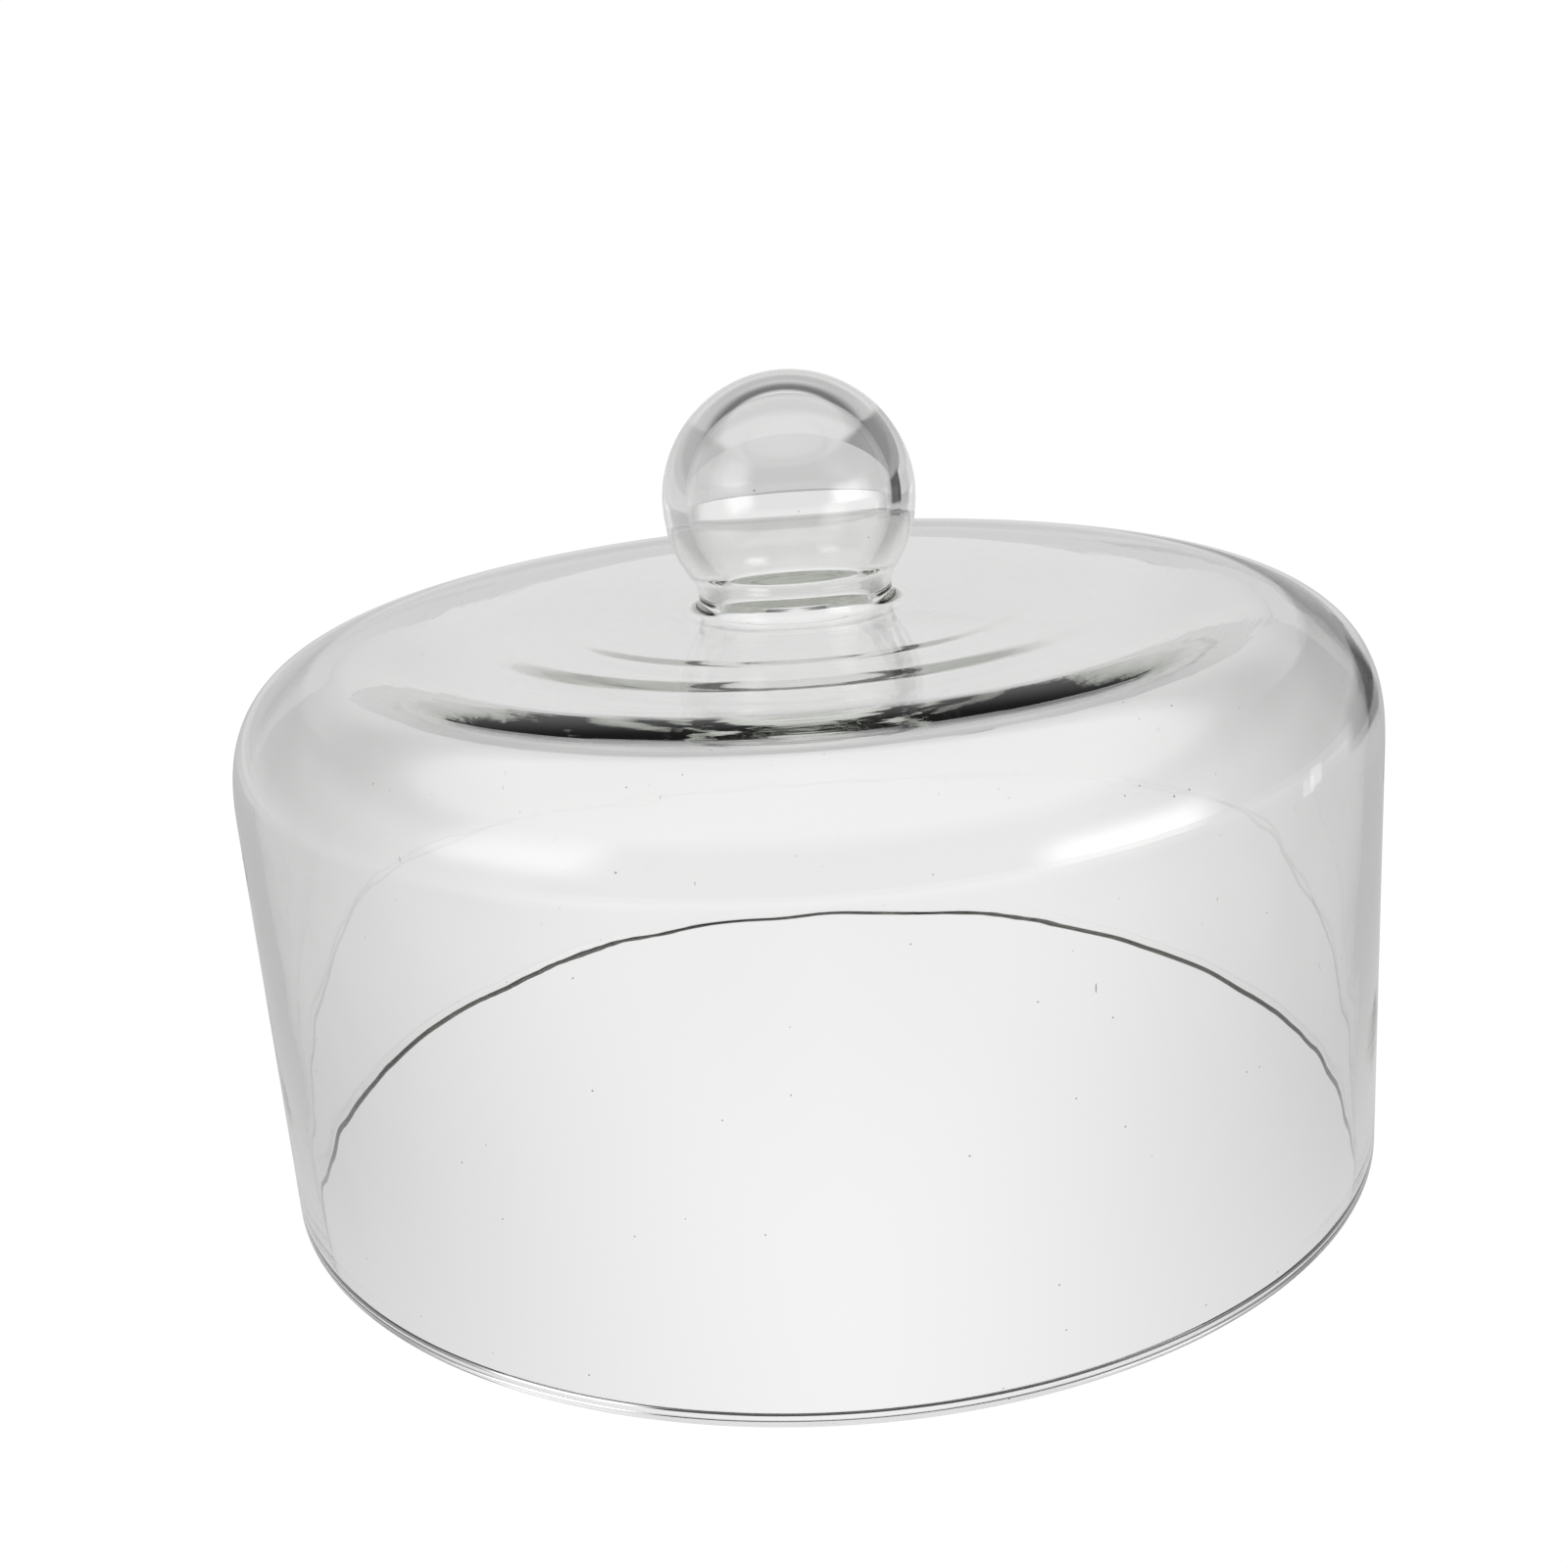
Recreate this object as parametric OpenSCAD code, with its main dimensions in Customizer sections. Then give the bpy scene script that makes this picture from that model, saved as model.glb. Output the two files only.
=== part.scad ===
// Bell-shaped display dome in clear blown glass, with a hollow ball knob.
// It stands on its rim: Z = 0 is the resting plane and the Z axis is the dome's axis.
// Four glass pieces are fused hot into one rigid body: the dome, the fire-polished
// lip under it, the knob, and the ring of glass that seals the knob's neck to the crown.

/* [Bell] */
// Outer diameter of the straight wall
bell_d = 250; // [180:1:340]
// Height of the crown above the resting plane
bell_h = 124; // [90:1:220]
// Thickness of the straight wall
wall_t = 4.2; // [3:0.1:7]
// How far the shoulder reaches in from the wall
shoulder_reach = 43.6; // [25:0.2:60]
// How far the shoulder drops below the crown
shoulder_drop = 32.6; // [20:0.2:60]
// Squareness of the shoulder (2 is an ellipse)
shoulder_power = 2.8; // [2:0.1:4]

/* [Crown] */
// Thickness of the crown where it meets the shoulder
crown_edge_t = 4.6; // [3:0.1:8]
// Thickness of the crown beside the knob's seal
crown_t = 6; // [4:0.1:10]

/* [Rim] */
// Height of the fire-polished lip
lip_h = 4; // [3.8:0.1:8]
// Height of the rounding on the outside of the lip
lip_round_out = 1.6; // [1:0.1:3.6]
// Height of the rounding on the inside of the lip
lip_round_in = 1.2; // [1:0.1:3.6]
// Width of the flat ring that the dome stands on
seat_w = 1; // [0.5:0.1:2]

/* [Knob] */
// Outer diameter of the ball
knob_d = 55; // [45:0.5:80]
// Thickness of the ball's wall and of its neck
knob_wall = 5; // [3:0.1:8]
// Outer diameter of the neck at its waist
neck_d = 42.6; // [28:0.2:44]
// Height of the neck's straight waist
waist_h = 0.8; // [0.4:0.1:10]
// Radius of the hollow sweep between the waist and the ball
sweep_r = 6.5; // [2:0.1:20]

/* [Seal] */
// Radius of the fillet where the seal meets the crown
seal_fillet = 1.8; // [1:0.1:6]
// Width of the seal's flat edge outside that fillet
seal_land = 2.5; // [1:0.1:8]

/* [Hidden] */
$fn = 180;
shoulder_steps = 14;
lip_steps = 8;
glass_tint = [0.86, 0.9, 0.88, 0.45];
seal_tint = [0.74, 0.8, 0.78, 0.6];
bell_r = bell_d / 2;
mouth_r = bell_r - wall_t;
knob_r = knob_d / 2;
neck_r = neck_d / 2;
neck_bore_r = neck_r - knob_wall;
// the wall's middle line, which the flat seat is centred on
seat_mid_r = bell_r - wall_t / 2;
// the shoulder is a superellipse outside, and another inside that keeps the wall's thickness
crown_flat_r = bell_r - shoulder_reach;
shoulder_z = bell_h - shoulder_drop;
crown_under_z = bell_h - crown_t;
// the seal spans both the outer fillet and the wider flare below it
flare_r = seal_fillet + crown_t;
seal_r = neck_r + seal_fillet + max(0, crown_t - knob_wall) + seal_land;
seal_top_z = bell_h + seal_fillet;
waist_z = seal_top_z + waist_h;
// the sweep's centre lies beside the waist, and the ball touches the sweep from outside
sweep_x = neck_r + sweep_r;
ball_rise = sqrt(pow(knob_r + sweep_r, 2) - pow(sweep_x, 2));
ball_z = waist_z + ball_rise;
sweep_angle = atan2(ball_rise, sweep_x);

// quarter of a superellipse, from level with its centre to straight above it
function shoulder_curve(x, z, a, b, power) =
    [for (i = [0 : shoulder_steps])
        let (t = 90 * i / shoulder_steps)
        [x + a * pow(cos(t), 2 / power), z + b * pow(sin(t), 2 / power)]];

// quarter of an ellipse that rounds one edge of the lip down to the flat seat
function lip_edge(x, a, b, side) =
    [for (i = [0 : lip_steps])
        let (t = 90 * i / lip_steps)
        [x + side * a * sin(t), b * (1 - cos(t))]];

function reversed(list) = [for (i = [len(list) - 1 : -1 : 0]) list[i]];

// the wall, the shoulder and the crown, with a round hole for the knob's seal
module dome_shell() {
    outside = shoulder_curve(crown_flat_r, shoulder_z, shoulder_reach, shoulder_drop, shoulder_power);
    inside = shoulder_curve(
        crown_flat_r, shoulder_z, shoulder_reach - wall_t, shoulder_drop - crown_edge_t, shoulder_power);
    color(glass_tint)
        rotate_extrude()
            polygon(concat(
                [[mouth_r, lip_h], [bell_r, lip_h]],
                outside,
                [[seal_r, bell_h], [seal_r, crown_under_z]],
                reversed(inside)));
}

// the lip: the wall's edge melted round in the flame, flat where it stands
module rim_lip() {
    seat = seat_w / 2;
    overhang = wall_t / 2 - seat;
    color(glass_tint)
        rotate_extrude()
            polygon(concat(
                lip_edge(seat_mid_r + seat, overhang, lip_round_out, 1),
                [[bell_r, lip_h], [mouth_r, lip_h]],
                reversed(lip_edge(seat_mid_r - seat, overhang, lip_round_in, -1))));
}

// outline of the knob solid, grown or shrunk by the wall: ball, hollow sweep and waist
module knob_outline(inset) {
    ball = knob_r - inset;
    sweep = sweep_r + inset;
    join_x = ball * cos(sweep_angle);
    join_z = ball_z - ball * sin(sweep_angle);
    intersection() {
        translate([0, ball_z])
            circle(ball);
        translate([0, join_z])
            square([ball, ball_z + ball - join_z]);
    }
    difference() {
        translate([0, seal_top_z])
            square([join_x, join_z - seal_top_z]);
        translate([sweep_x, waist_z])
            circle(sweep);
        translate([neck_r - inset, seal_top_z - sweep])
            square([sweep, waist_z - seal_top_z + sweep]);
    }
}

// the hollow ball and its short open neck
module knob() {
    color(glass_tint)
        rotate_extrude()
            difference() {
                knob_outline(0);
                knob_outline(knob_wall);
            }
}

// the fused ring: a tight fillet on top, a wider flare below that opens into the bell
module neck_seal() {
    color(seal_tint)
        rotate_extrude()
            difference() {
                translate([neck_bore_r, crown_under_z])
                    square([seal_r - neck_bore_r, seal_top_z - crown_under_z]);
                translate([neck_r + seal_fillet, seal_top_z])
                    circle(seal_fillet);
                translate([neck_r + seal_fillet, bell_h])
                    square([seal_r, seal_fillet]);
                difference() {
                    translate([neck_bore_r, crown_under_z])
                        square(flare_r);
                    translate([neck_bore_r + flare_r, seal_top_z])
                        circle(flare_r);
                }
            }
}

dome_shell();
rim_lip();
knob();
neck_seal();
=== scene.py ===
import math

import bpy
import numpy as np
from mathutils import Matrix, Vector


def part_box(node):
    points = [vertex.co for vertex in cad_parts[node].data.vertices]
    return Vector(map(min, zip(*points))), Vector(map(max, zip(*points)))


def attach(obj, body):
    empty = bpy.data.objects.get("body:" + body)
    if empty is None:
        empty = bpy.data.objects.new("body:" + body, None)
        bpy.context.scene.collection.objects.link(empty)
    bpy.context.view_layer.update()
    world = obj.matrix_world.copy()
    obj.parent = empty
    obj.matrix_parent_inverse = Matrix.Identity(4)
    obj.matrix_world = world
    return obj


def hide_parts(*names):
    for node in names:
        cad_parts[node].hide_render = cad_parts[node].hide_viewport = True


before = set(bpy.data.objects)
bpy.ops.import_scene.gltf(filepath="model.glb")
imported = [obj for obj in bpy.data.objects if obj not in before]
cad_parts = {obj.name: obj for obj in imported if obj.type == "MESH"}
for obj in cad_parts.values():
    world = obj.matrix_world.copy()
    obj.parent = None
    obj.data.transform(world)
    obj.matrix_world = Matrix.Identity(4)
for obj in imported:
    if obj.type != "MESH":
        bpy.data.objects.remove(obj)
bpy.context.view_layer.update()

MM = 0.001

# ---- sizes in metres: the frame gives the outer ones, and the glass's own thicknesses are here
BELL_R = -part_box("dome_shell")[0].x
CROWN_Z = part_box("dome_shell")[1].z
LIP_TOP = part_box("rim_lip")[1].z
KNOB_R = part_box("knob")[1].x
BALL_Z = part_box("knob")[1].z - KNOB_R
SEAL_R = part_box("neck_seal")[1].x
SEAL_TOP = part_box("neck_seal")[1].z
CROWN_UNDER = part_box("neck_seal")[0].z

WALL = 4.2 * MM
SHOULDER_REACH = 43.6 * MM
SHOULDER_DROP = 32.6 * MM
# a power of 2 would make the shoulder an ellipse, and more makes it squarer
SHOULDER_POWER = 2.8
CROWN_EDGE_T = 4.6 * MM
LIP_ROUND_OUT = 1.6 * MM
SEAT_W = 1.0 * MM
SEAT_MID = BELL_R - WALL / 2
KNOB_WALL = 5.0 * MM
NECK_R = 21.3 * MM
WAIST_H = 0.8 * MM
SWEEP_R = 6.5 * MM
SEAL_FILLET = 1.8 * MM

SHOULDER_Z = CROWN_Z - SHOULDER_DROP
SHOULDER_HALFWAY = SHOULDER_Z + SHOULDER_DROP / 2
CROWN_EDGE_R = BELL_R - SHOULDER_REACH
BORE_R = NECK_R - KNOB_WALL

# a bead that the flame drew along the inside of the lip: how far it stands in, how high it is
# rounded, and the heights between which it sinks back into the wall
BEAD = 0.45 * MM
BEAD_ROUND = 0.9 * MM
BEAD_FROM = 0.95 * MM
BEAD_TO = 2.3 * MM

# steps under the crown, where the gather was worked down: middle radius, width, and drop
# towards the axis
BROAD_STEPS = [(97 * MM, 20 * MM, 0.78 * MM)]
FINE_STEPS = [(69 * MM, 9 * MM, 0.38 * MM), (52 * MM, 5 * MM, 0.2 * MM)]
ALL_STEPS = BROAD_STEPS + FINE_STEPS
# each kind is deepest towards one side and fades out round the crown: the side that it faces,
# how far round from there it is gone and is still full, all in degrees, and the least of it
STEP_FADES = [("broad step", 272, 96, 52, 0.3), ("fine step", 256, 68, 25, 0.12)]

# a hairline between fused pieces keeps their two faces from lying on each other
HAIRLINE = 0.01 * MM
# points closer than this are one point
WELD = 0.0005 * MM

# the ripples of blowing, and how far apart in the noise the two skins lie, so they differ
RIPPLE_DEPTH = 0.11 * MM
RIPPLE_LENGTH = 17 * MM
RIPPLE_SEED = 3.0
SKINS_APART = 7.3
# the noise keeps mostly between these
NOISE_LOW, NOISE_HIGH = 0.25, 0.75
# how much of the ripple shows on the outside, which the mould smoothed, and how much on the crown
OUTSIDE_SHARE = 0.15
TOP_SHARE = 0.12

# how many flats go round the wide pieces and the narrow ones
BELL_SEGMENTS = 320
KNOB_SEGMENTS = 192
# how far apart the points of an outline lie, closer where the glass turns more sharply
GAPS = {
    "wall": 3 * MM, "outer curve": 1.2 * MM, "inner curve": 1.0 * MM, "underside": 0.8 * MM,
    "ball": 0.9 * MM, "sweep": 0.4 * MM, "seal": 1 * MM, "flare": 0.6 * MM, "fillet": 0.2 * MM,
}
SHOULDER_POINTS = 600
LIP_POINTS, BEAD_POINTS, BEAD_SINK_POINTS = 20, 14, 13
# where faces meet at more than this, the edge stays crisp
CRISP = math.radians(40)


# ---- skins: each is a list of (radius, height) points along one side of the glass
def even(path, step):
    """The same path, with its points about a step apart."""
    path = np.array(path, float)
    along = np.concatenate([[0], np.cumsum(np.hypot(*np.diff(path, axis=0).T))])
    stops = np.linspace(0, along[-1], max(2, round(along[-1] / step) + 1))
    return list(zip(np.interp(stops, along, path[:, 0]), np.interp(stops, along, path[:, 1])))


def arc(middle, radius, start, stop, step):
    """Part of a circle round (radius, height) middle, from one angle to the other in degrees."""
    count = max(3, round(abs(math.radians(stop - start)) * radius / step) + 1)
    turns = [math.radians(angle) for angle in np.linspace(start, stop, count)]
    return [(middle[0] + radius * math.cos(t), middle[1] + radius * math.sin(t)) for t in turns]


def shoulder(reach, drop):
    """A squarish curve from the top of the wall in to the edge of the crown."""
    path = []
    for turn in np.linspace(0, math.pi / 2, SHOULDER_POINTS):
        across = max(0.0, math.cos(turn)) ** (2 / SHOULDER_POWER)
        up = math.sin(turn) ** (2 / SHOULDER_POWER)
        path.append((CROWN_EDGE_R + reach * across, SHOULDER_Z + drop * up))
    return path


def eased(share):
    """A share from 0 to 1 that starts and stops gently."""
    return share * share * (3 - 2 * share)


def ramp(radius, start, drop):
    """A gentle fall from a radius in to the seal."""
    return drop * min(1.0, max(0.0, (start - radius) / (start - SEAL_R)))


def crown_drop(radius):
    """How much lower the crown's underside lies here than at its edge, without its steps."""
    plain = CROWN_Z - CROWN_UNDER - CROWN_EDGE_T - sum(drop for _, _, drop in ALL_STEPS)
    stepped = sum(ramp(radius, middle + width / 2, drop) for middle, width, drop in ALL_STEPS)
    return ramp(radius, CROWN_EDGE_R, plain) + stepped


def step_drop(radius, steps):
    """How much further down these steps bring it."""
    total = 0.0
    for middle, width, drop in steps:
        share = min(1.0, max(0.0, (middle + width / 2 - radius) / width))
        total += drop * eased(share) - ramp(radius, middle + width / 2, drop)
    return total


def bell_outside():
    """Up the wall, over the shoulder and across the crown to the seal."""
    foot = LIP_TOP + HAIRLINE
    wall = even([(BELL_R, foot), (BELL_R, SHOULDER_Z)], GAPS["wall"])
    curve = even(shoulder(SHOULDER_REACH, SHOULDER_DROP), GAPS["outer curve"])
    crown = [(CROWN_EDGE_R, CROWN_Z), (SEAL_R + HAIRLINE, CROWN_Z)]
    return wall[:-1] + curve + even(crown, GAPS["outer curve"])[1:]


def bell_inside():
    """The same way inside, where the crown gets thicker towards the seal."""
    foot = LIP_TOP + HAIRLINE
    wall = even([(BELL_R - WALL, foot), (BELL_R - WALL, SHOULDER_Z)], GAPS["wall"])
    curve = shoulder(SHOULDER_REACH - WALL, SHOULDER_DROP - CROWN_EDGE_T)
    under = CROWN_Z - CROWN_EDGE_T
    crown = even([(CROWN_EDGE_R, under), (SEAL_R + HAIRLINE, under)], GAPS["underside"])
    top = even(curve, GAPS["inner curve"]) + crown[1:]
    return wall[:-1] + [(r, z - crown_drop(r) if z > SHOULDER_HALFWAY else z) for r, z in top]


def lip_outside():
    """From the flat seat round a quarter of an ellipse and up the wall to where the lip ends."""
    edge, across = SEAT_MID + SEAT_W / 2, (WALL - SEAT_W) / 2
    turns = np.linspace(0, math.pi / 2, LIP_POINTS)
    curve = [(edge + across * math.sin(t), LIP_ROUND_OUT * (1 - math.cos(t))) for t in turns]
    return curve + [(BELL_R, LIP_TOP)]


def lip_inside():
    """From the flat seat round the bead and up to where the lip ends."""
    edge, wall = SEAT_MID - SEAT_W / 2, BELL_R - WALL
    across = edge - (wall - BEAD)
    turns = np.linspace(0, math.pi / 2, BEAD_POINTS)
    curve = [(edge - across * math.sin(t), BEAD_ROUND * (1 - math.cos(t))) for t in turns]
    for share in np.linspace(0, 1, BEAD_SINK_POINTS):
        height = BEAD_FROM + (BEAD_TO - BEAD_FROM) * share
        curve.append((wall - BEAD + BEAD * eased(share), height))
    return curve + [(wall, (BEAD_TO + LIP_TOP) / 2), (wall, LIP_TOP)]


def knob_skin(inset):
    """Up the waist, out through the sweep and over the ball to its pole."""
    waist_z = SEAL_TOP + WAIST_H
    sweep_x = NECK_R + SWEEP_R
    lean = math.degrees(math.atan2(BALL_Z - waist_z, sweep_x))
    waist = [(NECK_R - inset, SEAL_TOP + HAIRLINE), (NECK_R - inset, waist_z)]
    sweep = arc((sweep_x, waist_z), SWEEP_R + inset, 180, 180 - lean, GAPS["sweep"])
    ball = arc((0, BALL_Z), KNOB_R - inset, -lean, 90, GAPS["ball"])
    ball[-1] = (0.0, ball[-1][1])
    return waist + sweep[1:] + ball[1:]


def seal_outside():
    """Down the fillet and out along the top of the crown."""
    fillet = arc((NECK_R + SEAL_FILLET, SEAL_TOP), SEAL_FILLET, 180, 270, GAPS["fillet"])
    flat = [(NECK_R + SEAL_FILLET, CROWN_Z), (SEAL_R, CROWN_Z)]
    return fillet + even(flat, GAPS["seal"])[1:]


def seal_inside():
    """Down the flare and out along the underside of the crown."""
    flare_r = SEAL_TOP - CROWN_UNDER
    flare = arc((BORE_R + flare_r, SEAL_TOP), flare_r, 180, 270, GAPS["flare"])
    flat = [(BORE_R + flare_r, CROWN_UNDER), (SEAL_R, CROWN_UNDER)]
    return flare + even(flat, GAPS["seal"])[1:]


# ---- nodes
def node(tree, kind, inputs=(), **settings):
    """Adds a node with its settings and links. An input goes by its name or its number, and is a
    value, a socket, or a node whose first output feeds it."""
    made = tree.nodes.new(kind)
    for name, value in settings.items():
        setattr(made, name, value)
    for name, value in dict(inputs).items():
        if isinstance(value, bpy.types.Node):
            value = value.outputs[0]
        if isinstance(value, bpy.types.NodeSocket):
            tree.links.new(value, made.inputs[name])
        else:
            made.inputs[name].default_value = value
    return made


# where a point of an outline lies: on a skin, on a cut where two pieces are fused, or on the axis
OUTSIDE, INSIDE, CUT, AXIS = 0, 1, 2, 3
# a face has the mean of its corners' marks, so 0.5 beside a cut and 2 beside the axis
MARKS = {CUT: 1.0, AXIS: 4.0}
FUSED_OVER, AXIS_OVER = 0.1, 1.0


def turning_tree():
    """Turns an outline of points round the Z axis and ripples its skins as blowing leaves them."""
    tree = bpy.data.node_groups.new("turned_glass", "GeometryNodeTree")
    for name, kind in [
        ("Outline", "Geometry"), ("Segments", "Int"), ("Ripple depth", "Float"),
        ("Ripple length", "Float"), ("Seed", "Float"), ("Glass", "Material"),
    ]:
        tree.interface.new_socket(name, in_out="INPUT", socket_type="NodeSocket" + kind)
    tree.interface.new_socket("Turned", in_out="OUTPUT", socket_type="NodeSocketGeometry")
    given = node(tree, "NodeGroupInput").outputs
    outline = given["Outline"]

    # a grid with a column of points for each turn, and the outline's first point again at the end
    size = node(tree, "GeometryNodeAttributeDomainSize", {"Geometry": outline}, component="MESH")
    count = size.outputs["Point Count"]
    rows = node(tree, "ShaderNodeMath", {0: count, 1: 1.0}, operation="ADD")
    columns = node(tree, "ShaderNodeMath", {0: given["Segments"], 1: 1.0}, operation="ADD")
    grid = node(tree, "GeometryNodeMeshGrid", {"Vertices X": columns, "Vertices Y": rows})
    # its points run along one column and then the next
    index = node(tree, "GeometryNodeInputIndex")
    middle = node(tree, "ShaderNodeMath", {0: index, 1: 0.5}, operation="ADD")
    column = node(tree, "ShaderNodeMath", {0: middle, 1: rows}, operation="DIVIDE")
    column = node(tree, "ShaderNodeMath", {0: column}, operation="FLOOR")
    before = node(tree, "ShaderNodeMath", {0: column, 1: rows}, operation="MULTIPLY")
    row = node(tree, "ShaderNodeMath", {0: middle, 1: before}, operation="SUBTRACT")
    row = node(tree, "ShaderNodeMath", {0: row}, operation="FLOOR")
    row = node(tree, "ShaderNodeMath", {0: row, 1: count}, operation="MODULO")
    turn = node(tree, "ShaderNodeMath", {0: column, 1: given["Segments"]}, operation="DIVIDE")
    turn = node(tree, "ShaderNodeMath", {0: turn}, operation="FRACT")
    angle = node(tree, "ShaderNodeMath", {0: turn, 1: 2 * math.pi}, operation="MULTIPLY")
    read = {}
    for name, kind in [
        ("position", "FLOAT_VECTOR"), ("outward", "FLOAT_VECTOR"), ("skin", "FLOAT"),
        ("cut", "FLOAT"), ("broad step", "FLOAT"), ("fine step", "FLOAT"),
    ]:
        source = node(tree, "GeometryNodeInputNamedAttribute", {"Name": name}, data_type=kind)
        pick = {"Geometry": outline, "Value": source.outputs["Attribute"], "Index": row}
        sample = node(tree, "GeometryNodeSampleIndex", pick, data_type=kind)
        read[name] = sample.outputs["Value"]
    turned = {}
    for name in ("position", "outward"):
        turned[name] = node(tree, "ShaderNodeVectorRotate", {"Vector": read[name], "Angle": angle},
                            rotation_type="Z_AXIS")

    # the steps under the crown
    fall = 0.0
    for name, facing, gone, full, least in STEP_FADES:
        turned_away = node(tree, "ShaderNodeMath", {0: angle, 1: math.radians(facing)},
                           operation="SUBTRACT")
        towards = node(tree, "ShaderNodeMath", {0: turned_away}, operation="COSINE")
        fade = node(tree, "ShaderNodeMapRange", {
            "Value": towards, "To Min": least,
            "From Min": math.cos(math.radians(gone)), "From Max": math.cos(math.radians(full)),
        }, interpolation_type="SMOOTHSTEP")
        fall = node(tree, "ShaderNodeMath", {0: read[name], 1: fade, 2: fall},
                    operation="MULTIPLY_ADD")
    lower = node(tree, "ShaderNodeMath", {0: fall, 1: -1.0}, operation="MULTIPLY")
    down = node(tree, "ShaderNodeCombineXYZ", {"Z": lower})

    # the ripple only ever takes glass away, so the outside stays within its size
    ripple_at = node(tree, "ShaderNodeVectorMath",
                     {0: turned["position"], 1: given["Ripple length"]}, operation="DIVIDE")
    slot = node(tree, "ShaderNodeMath", {0: read["skin"], 1: SKINS_APART, 2: given["Seed"]},
                operation="MULTIPLY_ADD")
    ripple = node(tree, "ShaderNodeTexNoise",
                  {"Vector": ripple_at, "W": slot, "Scale": 1.0, "Detail": 1.0},
                  noise_dimensions="4D")
    ripple = node(tree, "ShaderNodeMapRange", {
        "Value": ripple, "From Min": NOISE_LOW, "From Max": NOISE_HIGH,
        "To Min": -1.0, "To Max": 0.0})
    depth = node(tree, "ShaderNodeMapRange", {"Value": read["skin"], "To Min": OUTSIDE_SHARE})
    height = node(tree, "ShaderNodeSeparateXYZ", {0: read["position"]}).outputs["Z"]
    calmer = node(tree, "ShaderNodeMapRange", {
        "Value": height, "From Min": SHOULDER_Z, "From Max": CROWN_UNDER,
        "To Min": 1.0, "To Max": TOP_SHARE})
    depth = node(tree, "ShaderNodeMath", {0: depth, 1: calmer}, operation="MULTIPLY")
    ripple = node(tree, "ShaderNodeMath", {0: ripple, 1: depth}, operation="MULTIPLY")
    ripple = node(tree, "ShaderNodeMath", {0: ripple, 1: given["Ripple depth"]},
                  operation="MULTIPLY")
    shift = node(tree, "ShaderNodeVectorMath", {0: turned["outward"], "Scale": ripple},
                 operation="SCALE")
    place = node(tree, "ShaderNodeVectorMath", {0: turned["position"], 1: shift}, operation="ADD")
    place = node(tree, "ShaderNodeVectorMath", {0: place, 1: down}, operation="ADD")

    # faces along the axis go, and faces on a cut are flagged as fused
    shaped = node(tree, "GeometryNodeSetPosition",
                  {"Geometry": grid.outputs["Mesh"], "Position": place})
    marked = node(tree, "GeometryNodeStoreNamedAttribute",
                  {"Geometry": shaped, "Name": "cut", "Value": read["cut"]}, data_type="FLOAT")
    mark = node(tree, "GeometryNodeInputNamedAttribute", {"Name": "cut"}, data_type="FLOAT")
    mark = mark.outputs["Attribute"]
    on_axis = node(tree, "FunctionNodeCompare", {0: mark, 1: AXIS_OVER}, operation="GREATER_THAN")
    open_poles = node(tree, "GeometryNodeDeleteGeometry",
                      {"Geometry": marked, "Selection": on_axis}, domain="FACE")
    is_fused = node(tree, "ShaderNodeMath", {0: mark, 1: FUSED_OVER}, operation="GREATER_THAN")
    flagged = node(tree, "GeometryNodeStoreNamedAttribute",
                   {"Geometry": open_poles, "Name": "fused", "Value": is_fused},
                   data_type="FLOAT", domain="FACE")
    closed = node(tree, "GeometryNodeMergeByDistance", {"Geometry": flagged, "Distance": WELD})
    whole = node(tree, "GeometryNodeRealizeInstances", {"Geometry": closed})
    glazed = node(tree, "GeometryNodeSetMaterial", {"Geometry": whole, "Material": given["Glass"]})
    node(tree, "NodeGroupOutput", {0: glazed})
    return tree


TURNING = turning_tree()


def step_under(point, side, steps):
    """The steps' drop at a point, which only the crown's underside has."""
    under_crown = side == INSIDE and SHOULDER_HALFWAY < point[1] < CROWN_Z and point[0] > SEAL_R
    return step_drop(point[0], steps) if under_crown else 0.0


def outline_mesh(name, runs):
    """One closed outline from runs of (points, side), where each point knows its way out."""
    points = [point for run, _ in runs for point in run]
    sides = [side for run, side in runs for _ in run]
    mesh = bpy.data.meshes.new(name)
    mesh.from_pydata([(r, 0, z) for r, z in points], [], [])
    outward = []
    for i, (r, z) in enumerate(points):
        following = (i + 1) % len(points)
        before = points[i - 1] if sides[i - 1] == sides[i] else (r, z)
        after = points[following] if sides[following] == sides[i] else (r, z)
        along = Vector((after[0] - before[0], after[1] - before[1])).normalized()
        if r == 0:
            along = Vector((-1 if sides[i] == OUTSIDE else 1, 0))
        outward.append((along.y, 0, -along.x) if sides[i] < CUT else (0, 0, 0))
    broad, fine = (
        [step_under(point, side, steps) for point, side in zip(points, sides)]
        for steps in (BROAD_STEPS, FINE_STEPS)
    )
    for key, kind, field, values in [
        ("outward", "FLOAT_VECTOR", "vector", outward),
        ("skin", "FLOAT", "value", sides),
        ("cut", "FLOAT", "value", [MARKS.get(side, 0.0) for side in sides]),
        ("broad step", "FLOAT", "value", broad),
        ("fine step", "FLOAT", "value", fine),
    ]:
        made = mesh.attributes.new(key, kind, "POINT")
        made.data.foreach_set(field, np.array(values, np.float32).ravel())
    return mesh


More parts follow.
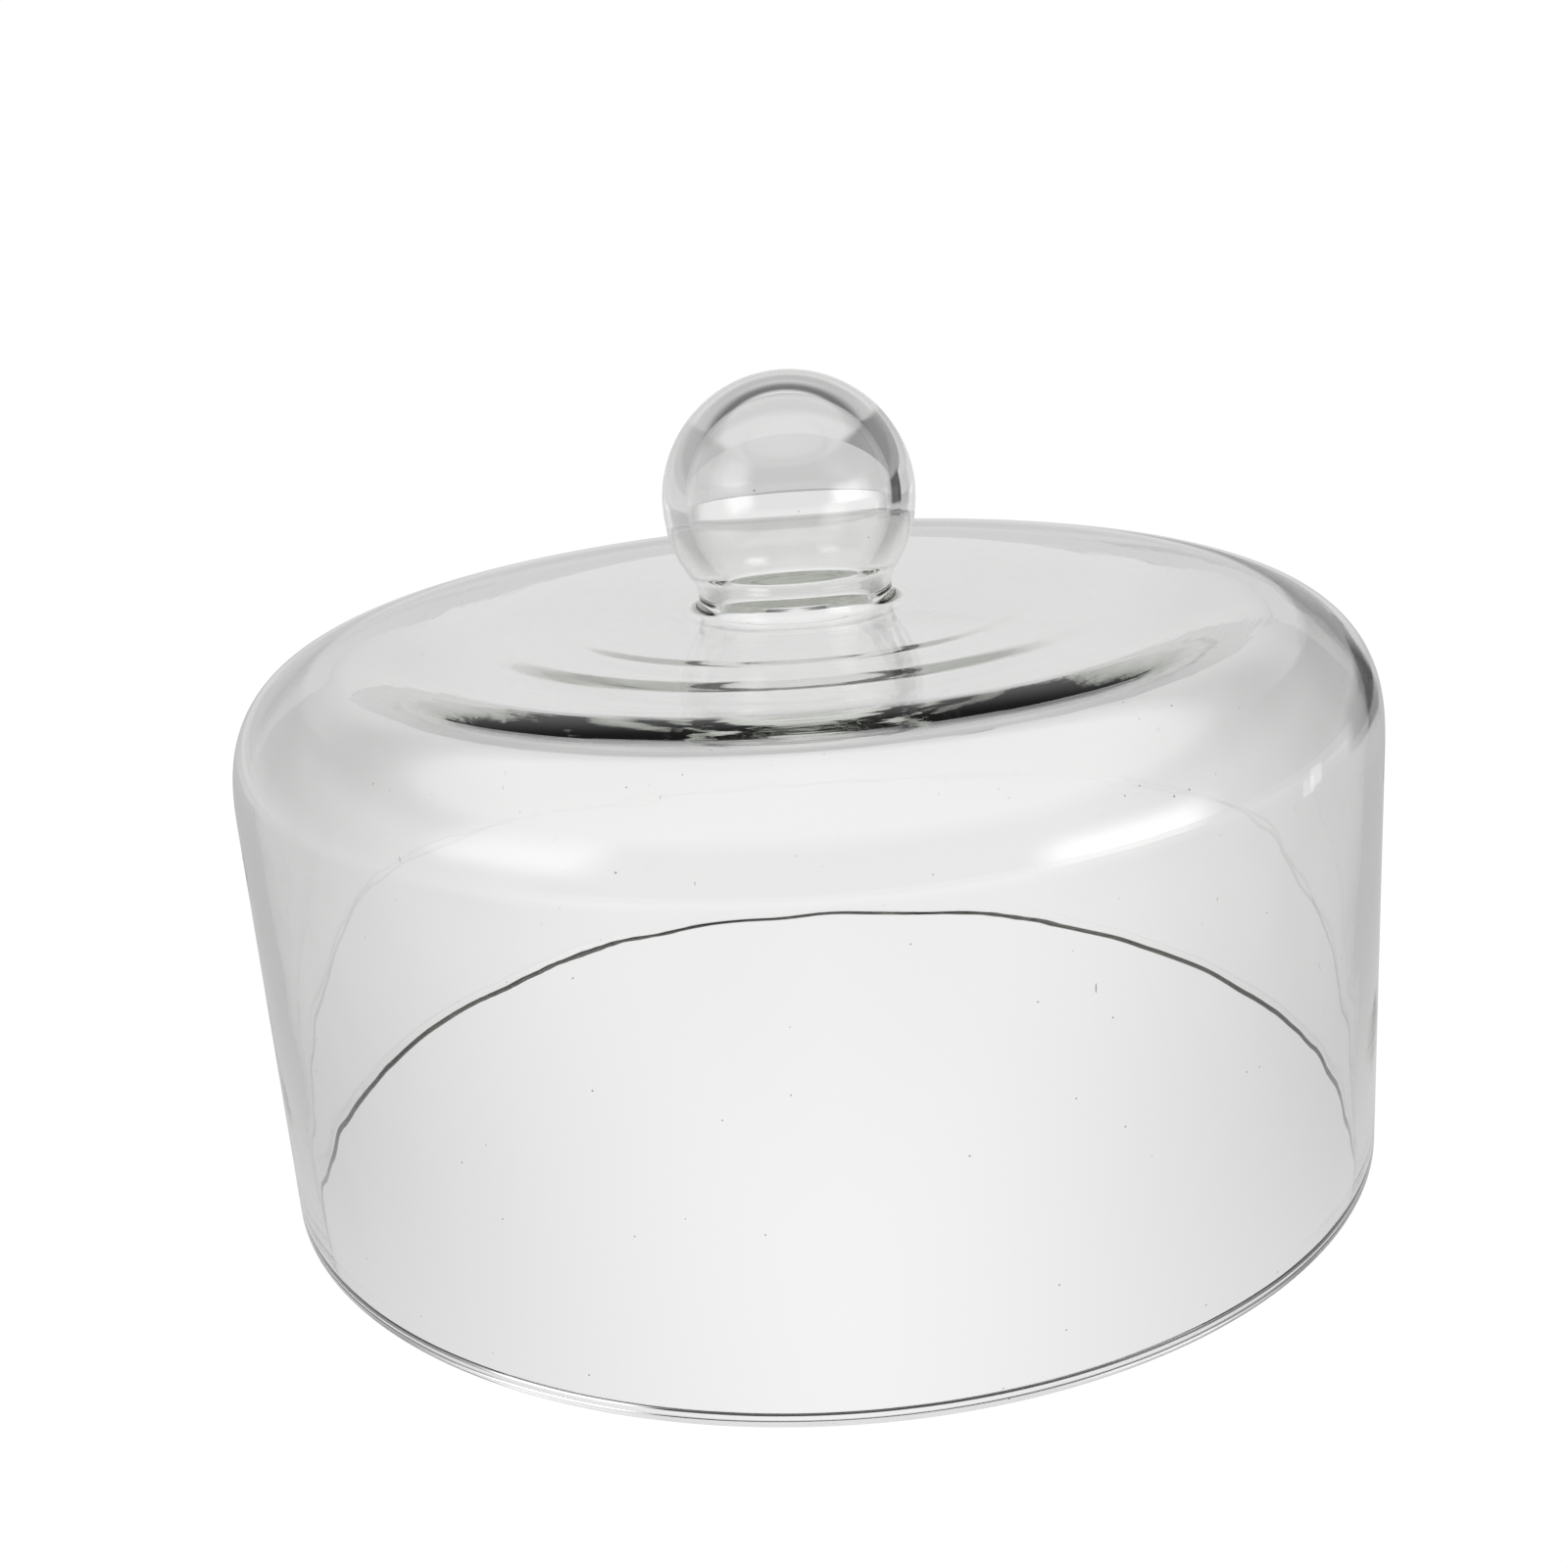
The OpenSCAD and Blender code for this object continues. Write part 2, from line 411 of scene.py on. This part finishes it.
def turned_piece(name, runs, segments, glass, node_name):
    """Turns the outline, keeps it as a plain mesh with crisp edges, and gives it to the frame."""
    piece = bpy.data.objects.new(name, outline_mesh(name + "_outline", runs))
    bpy.context.scene.collection.objects.link(piece)
    turning = piece.modifiers.new("turning", "NODES")
    turning.node_group = TURNING
    given = {
        "Segments": segments, "Ripple depth": RIPPLE_DEPTH, "Ripple length": RIPPLE_LENGTH,
        "Seed": RIPPLE_SEED, "Glass": glass,
    }
    for item in TURNING.interface.items_tree:
        if item.name in given:
            turning[item.identifier] = given[item.name]
    depsgraph = bpy.context.evaluated_depsgraph_get()
    mesh = bpy.data.meshes.new_from_object(piece.evaluated_get(depsgraph))
    mesh.name = name
    piece.modifiers.clear()
    piece.data = mesh
    mesh.attributes.remove(mesh.attributes["cut"])
    mesh.materials.clear()
    mesh.materials.append(glass)
    mesh.polygons.foreach_set("material_index", [0] * len(mesh.polygons))
    mesh.shade_smooth()
    mesh.set_sharp_from_angle(angle=CRISP)
    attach(piece, "root")
    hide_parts(node_name)


# ---- glass
def linear(colour):
    """sRGB hex to the linear colour that the shaders take."""
    parts = [int(colour[i:i + 2], 16) / 255 for i in (1, 3, 5)]
    return [c / 12.92 if c <= 0.04045 else ((c + 0.055) / 1.055) ** 2.4 for c in parts] + [1.0]


GLASS_TINT = "#b9beb0"
GLASS_DENSITY = 7.0
GLASS_IOR = 1.51
WHITE = (1, 1, 1, 1)
MARK_GREY = "#7d7d78"

# grooves that turning left under the crown: real ones lie closer, and these are as coarse as
# they need to be to show. They change slowly on their way round
GROOVE_DEPTH = 0.007 * MM
GROOVE_GAP = 1.6 * MM
GROOVE_CHANGE = 2.2
# the heights where they begin and where they are full, down from the crown and up the shoulder
GROOVE_FADES = [(CROWN_Z - 2.0 * MM, CROWN_Z - 3.5 * MM), (SHOULDER_Z, SHOULDER_Z + 15 * MM)]

# grit and scratches from use: half the width of each. A scratch is drawn out up the wall, and
# bends a little over a longer way
GRIT = 0.2 * MM
SCRATCH = 0.15 * MM
SCRATCH_SQUEEZE = (1.0, 1.0, 0.16)
BEND = 4 * MM
BEND_LENGTH = 60 * MM


def turned_grooves(tree, place):
    """A bump of fine grooves round the underside of the crown."""
    parts = node(tree, "ShaderNodeSeparateXYZ", {0: place}).outputs
    flat = node(tree, "ShaderNodeCombineXYZ", {0: parts["X"], 1: parts["Y"]})
    away = node(tree, "ShaderNodeVectorMath", {0: flat}, operation="LENGTH").outputs["Value"]
    bearing = node(tree, "ShaderNodeVectorMath", {0: flat}, operation="NORMALIZE")
    bearing = node(tree, "ShaderNodeVectorMath", {0: bearing, "Scale": GROOVE_CHANGE},
                   operation="SCALE")
    across = node(tree, "ShaderNodeMath", {0: away, 1: GROOVE_GAP}, operation="DIVIDE")
    across = node(tree, "ShaderNodeCombineXYZ", {"Z": across})
    groove_at = node(tree, "ShaderNodeVectorMath", {0: bearing, 1: across}, operation="ADD")
    groove = node(tree, "ShaderNodeTexNoise", {"Vector": groove_at, "Scale": 1.0, "Detail": 2.0})
    for begins, full in GROOVE_FADES:
        here = node(tree, "ShaderNodeMapRange",
                    {"Value": parts["Z"], "From Min": begins, "From Max": full})
        groove = node(tree, "ShaderNodeMath", {0: groove, 1: here}, operation="MULTIPLY")
    return node(tree, "ShaderNodeBump",
                {"Height": groove, "Distance": GROOVE_DEPTH, "Strength": 1.0})


def wear(tree, place, grit_gap, scratch_gap):
    """Whether there is a mark here: a speck of grit or a short fine scratch."""
    cells = node(tree, "ShaderNodeTexVoronoi", {"Vector": place, "Scale": 1 / grit_gap})
    grit = node(tree, "ShaderNodeMath", {0: cells.outputs["Distance"], 1: GRIT / grit_gap},
                operation="LESS_THAN")
    bent = node(tree, "ShaderNodeTexNoise",
                {"Vector": place, "Scale": 1 / BEND_LENGTH, "Detail": 0.0})
    bent = node(tree, "ShaderNodeVectorMath", {0: bent.outputs["Color"], "Scale": BEND},
                operation="SCALE")
    drawn_out = node(tree, "ShaderNodeVectorMath", {0: place, 1: SCRATCH_SQUEEZE},
                     operation="MULTIPLY")
    drawn_out = node(tree, "ShaderNodeVectorMath", {0: drawn_out, 1: bent}, operation="ADD")
    hairs = node(tree, "ShaderNodeTexVoronoi", {"Vector": drawn_out, "Scale": 1 / scratch_gap})
    scratch = node(tree, "ShaderNodeMath", {0: hairs.outputs["Distance"], 1: SCRATCH / scratch_gap},
                   operation="LESS_THAN")
    return node(tree, "ShaderNodeMath", {0: grit, 1: scratch}, operation="MAXIMUM")


def clear_glass(name, grooved, grit_gap, scratch_gap):
    """Soda-lime glass with a skin as smooth as heat leaves it, faintly grey-green in its depth."""
    mat = bpy.data.materials.new(name)
    mat.use_nodes = True
    tree = mat.node_tree
    tree.nodes.clear()
    place = node(tree, "ShaderNodeTexCoord").outputs["Object"]
    # where two hot pieces were melted into one, the glass runs on and nothing shows
    fused = node(tree, "ShaderNodeAttribute", attribute_name="fused").outputs["Fac"]
    skin = node(tree, "ShaderNodeMath", {0: 1.0, 1: fused}, operation="SUBTRACT")
    marks = wear(tree, place, grit_gap, scratch_gap)
    tint = node(tree, "ShaderNodeMix", {0: marks, 6: WHITE, 7: linear(MARK_GREY)},
                data_type="RGBA").outputs[2]
    shader = node(tree, "ShaderNodeBsdfPrincipled", {
        "Base Color": tint, "Roughness": 0.0, "IOR": GLASS_IOR, "Transmission Weight": 1.0,
        "Alpha": skin})
    if grooved:
        bump = turned_grooves(tree, place)
        tree.links.new(bump.outputs[0], shader.inputs["Normal"])
    depth = node(tree, "ShaderNodeVolumeAbsorption",
                 {"Color": linear(GLASS_TINT), "Density": GLASS_DENSITY})
    node(tree, "ShaderNodeOutputMaterial", {"Surface": shader, "Volume": depth})
    return mat


# the bell was blown and its crown worked down by turning: dark rings, with streaks that follow them
blown = clear_glass("blown_and_turned_glass", grooved=True, grit_gap=7 * MM,
                    scratch_gap=13 * MM)
# the flame drew the cut edge into a smooth bead, which shows as one dark line; a rim stands on grit
flamed = clear_glass("flame_rounded_glass", grooved=False, grit_gap=5 * MM,
                     scratch_gap=16 * MM)
# the ball was blown and no tool touched it: the brightest and cleanest skin, worn by fingers
ball_glass = clear_glass("free_blown_glass", grooved=False, grit_gap=9 * MM,
                         scratch_gap=9 * MM)
# the seal was tooled round while hot: thick glass, with dark hooks at its foot and few marks
tooled = clear_glass("hot_tooled_glass", grooved=False, grit_gap=9 * MM,
                     scratch_gap=16 * MM)


# ---- pieces
def between(a, b):
    """The point halfway across a cut or between the two poles."""
    return [((a[0] + b[0]) / 2, (a[1] + b[1]) / 2)]


outside, inside = bell_outside(), bell_inside()
turned_piece("blown_bell", [
    (outside, OUTSIDE), (between(outside[-1], inside[-1]), CUT),
    (inside[::-1], INSIDE), (between(inside[0], outside[0]), CUT),
], BELL_SEGMENTS, blown, "dome_shell")

lip_out, lip_in = lip_outside(), lip_inside()
turned_piece("melted_lip", [
    (lip_in[::-1], INSIDE), (lip_out, OUTSIDE), (between(lip_out[-1], lip_in[-1]), CUT),
], BELL_SEGMENTS, flamed, "rim_lip")

ball_out, ball_in = knob_skin(0.0), knob_skin(KNOB_WALL)
turned_piece("ball_knob", [
    (ball_out, OUTSIDE), (between(ball_out[-1], ball_in[-1]), AXIS),
    (ball_in[::-1], INSIDE), (between(ball_in[0], ball_out[0]), CUT),
], KNOB_SEGMENTS, ball_glass, "knob")

fillet, flare = seal_outside(), seal_inside()
turned_piece("fused_neck", [
    (fillet[::-1], OUTSIDE), (between(fillet[0], flare[0]), CUT),
    (flare, INSIDE), (between(flare[-1], fillet[-1]), CUT),
], KNOB_SEGMENTS, tooled, "neck_seal")


# ---- studio: the eye sees one plain white round the dome, and the glass a greyer room
SEEN_WHITE = 1.02

# the table top: half its size, and how far below the glass
TABLE = 8.0
TABLE_DROP = 0.3 * MM
# the pool of light on it gets narrower towards the eye: metres aside and tone, inside and out
POOL_LEAN = -0.25
POOL_FROM, POOL_TO = 0.02, 0.20
POOL_TONE, BESIDE_POOL = 0.915, 0.52
# and it fades towards the eye, over this stretch of y, to this share of it
NEARER_FROM, NEARER_TO, NEARER_SHARE = -0.15, -0.35, 0.6
# little light gets in under the lip on the near side: a thin dark ring, full from this far forward
SHADE_R, SHADE_HALF_W, SHADE_SHARE = SEAT_MID - 1.2 * MM, 0.6 * MM, 0.02
SHADE_FROM, SHADE_TO = 0.0, -0.04
# how far out the round table ends, the tone past it, and a painted shadow along its edge: a
# slightly darker band
EDGE_FROM, EDGE_TO, PAST_EDGE = 0.955, 0.965, 0.68
SHADOW_BAND_R, SHADOW_BAND_HALF_W, SHADOW_BAND_SHARE = 0.975, 0.012, 0.8


def studio_floor():
    """A pale table top in a pool of light."""
    mesh = bpy.data.meshes.new("pale_floor")
    corners = [(-TABLE, -TABLE), (TABLE, -TABLE), (TABLE, TABLE), (-TABLE, TABLE)]
    mesh.from_pydata([(x, y, -TABLE_DROP) for x, y in corners], [], [(0, 1, 2, 3)])
    floor = bpy.data.objects.new("pale_floor", mesh)
    bpy.context.scene.collection.objects.link(floor)
    mat = bpy.data.materials.new("pale_table")
    mat.use_nodes = True
    tree = mat.node_tree
    tree.nodes.clear()
    place = node(tree, "ShaderNodeTexCoord").outputs["Object"]
    away = node(tree, "ShaderNodeVectorMath", {0: place}, operation="LENGTH").outputs["Value"]
    parts = node(tree, "ShaderNodeSeparateXYZ", {0: place}).outputs
    aside = node(tree, "ShaderNodeMath", {0: parts["X"]}, operation="ABSOLUTE")
    from_pool = node(tree, "ShaderNodeMath", {0: parts["Y"], 1: POOL_LEAN, 2: aside},
                     operation="MULTIPLY_ADD")
    tone = node(tree, "ShaderNodeMapRange", {
        "Value": from_pool, "From Min": POOL_FROM, "From Max": POOL_TO,
        "To Min": POOL_TONE, "To Max": BESIDE_POOL}, interpolation_type="SMOOTHSTEP")
    nearer = node(tree, "ShaderNodeMapRange", {
        "Value": parts["Y"], "From Min": NEARER_FROM, "From Max": NEARER_TO,
        "To Min": 1.0, "To Max": NEARER_SHARE}, interpolation_type="SMOOTHSTEP")
    tone = node(tree, "ShaderNodeMath", {0: tone, 1: nearer}, operation="MULTIPLY")
    ring = node(tree, "ShaderNodeMath", {0: away, 1: SHADE_R, 2: SHADE_HALF_W}, operation="COMPARE")
    near_side = node(tree, "ShaderNodeMapRange",
                     {"Value": parts["Y"], "From Min": SHADE_FROM, "From Max": SHADE_TO})
    under_lip = node(tree, "ShaderNodeMath", {0: ring, 1: near_side}, operation="MULTIPLY")
    shade = node(tree, "ShaderNodeMapRange",
                 {"Value": under_lip, "To Min": 1.0, "To Max": SHADE_SHARE})
    tone = node(tree, "ShaderNodeMath", {0: tone, 1: shade}, operation="MULTIPLY")
    past = node(tree, "ShaderNodeMapRange",
                {"Value": away, "From Min": EDGE_FROM, "From Max": EDGE_TO})
    tone = node(tree, "ShaderNodeMix", {0: past, 2: tone, 3: PAST_EDGE})
    # painted shadow: a slightly darker band along the table's edge
    on_shadow_band = node(tree, "ShaderNodeMath", {0: away, 1: SHADOW_BAND_R, 2: SHADOW_BAND_HALF_W},
                   operation="COMPARE")
    shadow_band = node(tree, "ShaderNodeMapRange",
                {"Value": on_shadow_band, "To Min": 1.0, "To Max": SHADOW_BAND_SHARE})
    tone = node(tree, "ShaderNodeMath", {0: tone, 1: shadow_band}, operation="MULTIPLY")
    seen = node(tree, "ShaderNodeLightPath").outputs["Is Camera Ray"]
    tone = node(tree, "ShaderNodeMix", {0: seen, 2: tone, 3: SEEN_WHITE})
    # the table top glows with this tone and no lamp lights it: its pool of light, the shade under
    # the lip and the shadow band are painted into the glow
    glow = node(tree, "ShaderNodeEmission", {"Color": WHITE, "Strength": tone})
    # from below there is no table
    clear = node(tree, "ShaderNodeBsdfTransparent")
    below = node(tree, "ShaderNodeNewGeometry").outputs["Backfacing"]
    mix = node(tree, "ShaderNodeMixShader", {0: below, 1: glow, 2: clear})
    node(tree, "ShaderNodeOutputMaterial", {"Surface": mix})
    mesh.materials.append(mat)


# a lit backdrop opens upwards like a fan: how high its edge is for each radian aside, and its tone
FAN_RISE, FAN_FOOT, FAN_SOFT, FAN_TONE = 0.84, -0.15, 0.02, 0.75
# beside and below it stand greyer walls, from left to right, and darker behind the eye
WALLS_ACROSS, LEFT_WALL, RIGHT_WALL = 0.3, 0.58, 0.34
BEHIND_FROM, BEHIND_TO, BEHIND_SHARE = -0.5, -0.7, 0.12
# degrees up where the light falls off, and the share that is left above: the ceiling, and the
# backdrop's upper part
FALLS_OFF = [(21, 35, 0.16), (3, 9, 0.8)]
# a soft light overhead: where it begins and is full in degrees up, and how bright
OVERHEAD_FROM, OVERHEAD_TO, OVERHEAD_TONE = 38, 46, 0.7
# two softboxes, one on each side of the eye: azimuth from the back towards the right, elevation,
# half width, half height and edge softness, all in degrees, and brightness
SOFTBOXES = [
    (120, -2, 17, 16, 6, 3.0),
    (-120, 27, 17, 13, 6, 1.5),
]


def studio_air():
    """The room round the table, as the glass sees it."""
    world = bpy.data.worlds.new("studio")
    world.use_nodes = True
    bpy.context.scene.world = world
    tree = world.node_tree
    tree.nodes.clear()
    towards = node(tree, "ShaderNodeTexCoord").outputs["Generated"]
    way = node(tree, "ShaderNodeSeparateXYZ", {0: towards}).outputs
    around = node(tree, "ShaderNodeMath", {0: way["X"], 1: way["Y"]}, operation="ARCTAN2")
    up = node(tree, "ShaderNodeMath", {0: way["Z"]}, operation="ARCSINE")
    aside = node(tree, "ShaderNodeMath", {0: around}, operation="ABSOLUTE")
    fan_edge = node(tree, "ShaderNodeMath", {0: aside, 1: FAN_RISE, 2: FAN_FOOT},
                    operation="MULTIPLY_ADD")
    over = node(tree, "ShaderNodeMath", {0: up, 1: fan_edge}, operation="SUBTRACT")
    walls = node(tree, "ShaderNodeMapRange", {
        "Value": way["X"], "From Min": -WALLS_ACROSS, "From Max": WALLS_ACROSS,
        "To Min": LEFT_WALL, "To Max": RIGHT_WALL}, interpolation_type="SMOOTHSTEP")
    behind_eye = node(tree, "ShaderNodeMapRange", {
        "Value": way["Y"], "From Min": BEHIND_FROM, "From Max": BEHIND_TO,
        "To Min": 1.0, "To Max": BEHIND_SHARE}, interpolation_type="SMOOTHSTEP")
    walls = node(tree, "ShaderNodeMath", {0: walls, 1: behind_eye}, operation="MULTIPLY")
    tone = node(tree, "ShaderNodeMapRange", {
        "Value": over, "From Min": -FAN_SOFT, "From Max": FAN_SOFT,
        "To Min": walls, "To Max": FAN_TONE}, interpolation_type="SMOOTHSTEP")
    for begins, ends, left in FALLS_OFF:
        share = node(tree, "ShaderNodeMapRange", {
            "Value": up, "From Min": math.radians(begins), "From Max": math.radians(ends),
            "To Min": 1.0, "To Max": left}, interpolation_type="SMOOTHSTEP")
        tone = node(tree, "ShaderNodeMath", {0: tone, 1: share}, operation="MULTIPLY")
    overhead = node(tree, "ShaderNodeMapRange", {
        "Value": up, "From Min": math.radians(OVERHEAD_FROM), "From Max": math.radians(OVERHEAD_TO),
        "To Max": OVERHEAD_TONE}, interpolation_type="SMOOTHSTEP")
    tone = node(tree, "ShaderNodeMath", {0: tone, 1: overhead}, operation="ADD")
    for azimuth, elevation, half_w, half_h, soft, bright in SOFTBOXES:
        share = 1.0
        for angle, middle, half in ((around, azimuth, half_w), (up, elevation, half_h)):
            off = node(tree, "ShaderNodeMath", {0: angle, 1: math.radians(middle)},
                       operation="SUBTRACT")
            off = node(tree, "ShaderNodeMath", {0: off}, operation="ABSOLUTE")
            within = node(tree, "ShaderNodeMapRange", {
                "Value": off, "From Min": math.radians(half + soft),
                "From Max": math.radians(half - soft)}, interpolation_type="SMOOTHSTEP")
            share = node(tree, "ShaderNodeMath", {0: share, 1: within}, operation="MULTIPLY")
        tone = node(tree, "ShaderNodeMath", {0: share, 1: bright, 2: tone},
                    operation="MULTIPLY_ADD")
    seen = node(tree, "ShaderNodeLightPath").outputs["Is Camera Ray"]
    tone = node(tree, "ShaderNodeMix", {0: seen, 2: tone, 3: SEEN_WHITE})
    glow = node(tree, "ShaderNodeBackground", {"Color": WHITE, "Strength": tone})
    node(tree, "ShaderNodeOutputWorld", {"Surface": glow})


# cards that stand round the table out of the camera's sight, one dark and one bright: azimuth from
# the back towards the right, distance, width, foot and top in metres, and how bright they are
CARDS = [
    (54, 0.60, 0.31, 0.02, 0.165, 0.05),
    (83, 0.60, 0.05, 0.0, 0.08, 1.6),
]
# from a card's middle its edge is at 0.5, and the card is whole up to here
CARD_EDGE, CARD_WHOLE = 0.5, 0.35


def studio_cards():
    """The cards, each fading out towards its edges."""
    for i, (azimuth, away, wide, foot, top, bright) in enumerate(CARDS):
        turn = math.radians(azimuth)
        out = Vector((math.sin(turn), math.cos(turn), 0)) * away
        along = Vector((out.y, -out.x, 0)).normalized() * wide / 2
        mesh = bpy.data.meshes.new(f"card_{i}")
        low = [(p.x, p.y, foot) for p in (out - along, out + along)]
        high = [(p.x, p.y, top) for p in (out + along, out - along)]
        mesh.from_pydata(low + high, [], [(0, 1, 2, 3)])
        card = bpy.data.objects.new(f"card_{i}", mesh)
        bpy.context.scene.collection.objects.link(card)
        card.visible_camera = False
        mat = bpy.data.materials.new(f"card_{i}")
        mat.use_nodes = True
        tree = mat.node_tree
        tree.nodes.clear()
        place = node(tree, "ShaderNodeTexCoord").outputs["Generated"]
        spot = node(tree, "ShaderNodeSeparateXYZ", {0: place}).outputs
        share = 1.0
        for axis in ("X", "Z"):
            off = node(tree, "ShaderNodeMath", {0: spot[axis], 1: 0.5}, operation="SUBTRACT")
            off = node(tree, "ShaderNodeMath", {0: off}, operation="ABSOLUTE")
            within = node(tree, "ShaderNodeMapRange", {
                "Value": off, "From Min": CARD_EDGE, "From Max": CARD_WHOLE,
            }, interpolation_type="SMOOTHSTEP")
            share = node(tree, "ShaderNodeMath", {0: share, 1: within}, operation="MULTIPLY")
        glow = node(tree, "ShaderNodeEmission", {"Color": WHITE, "Strength": bright})
        clear = node(tree, "ShaderNodeBsdfTransparent")
        mix = node(tree, "ShaderNodeMixShader", {0: share, 1: clear, 2: glow})
        node(tree, "ShaderNodeOutputMaterial", {"Surface": mix})
        mesh.materials.append(mat)


# the camera: how far it looks down, turns aside and leans, in radians, where it stands in bell
# radii, and its lens in millimetres
LOOK_DOWN, TURN_ASIDE, LEAN = 0.3115, -0.0136, -0.0736
STANDS_BACK, STANDS_UP = 3.3041, 1.7138
LENS = 43.73


def camera():
    """Looks slightly down on the dome, leaning a few degrees."""
    level, sink = math.cos(LOOK_DOWN), math.sin(LOOK_DOWN)
    look = Vector((math.sin(TURN_ASIDE) * level, math.cos(TURN_ASIDE) * level, -sink))
    right = Vector((math.cos(TURN_ASIDE), -math.sin(TURN_ASIDE), 0))
    up = right.cross(look)
    leaning_right = right * math.cos(LEAN) + up * math.sin(LEAN)
    leaning_up = up * math.cos(LEAN) - right * math.sin(LEAN)
    eye = bpy.data.objects.new("camera", bpy.data.cameras.new("camera"))
    eye.data.lens = LENS
    turn = Matrix((leaning_right, leaning_up, -look)).transposed()
    stand = Matrix.Translation((0, -STANDS_BACK * BELL_R, STANDS_UP * BELL_R))
    eye.matrix_world = stand @ turn.to_4x4()
    bpy.context.scene.collection.objects.link(eye)
    bpy.context.scene.camera = eye


studio_floor()
studio_air()
studio_cards()
camera()

# light passes many skins of glass before it gets out
BOUNCES, GLOSSY_BOUNCES = 48, 24
scene = bpy.context.scene
scene.view_settings.view_transform = "Standard"
scene.cycles.max_bounces = BOUNCES
scene.cycles.transmission_bounces = BOUNCES
scene.cycles.glossy_bounces = GLOSSY_BOUNCES
scene.cycles.transparent_max_bounces = BOUNCES
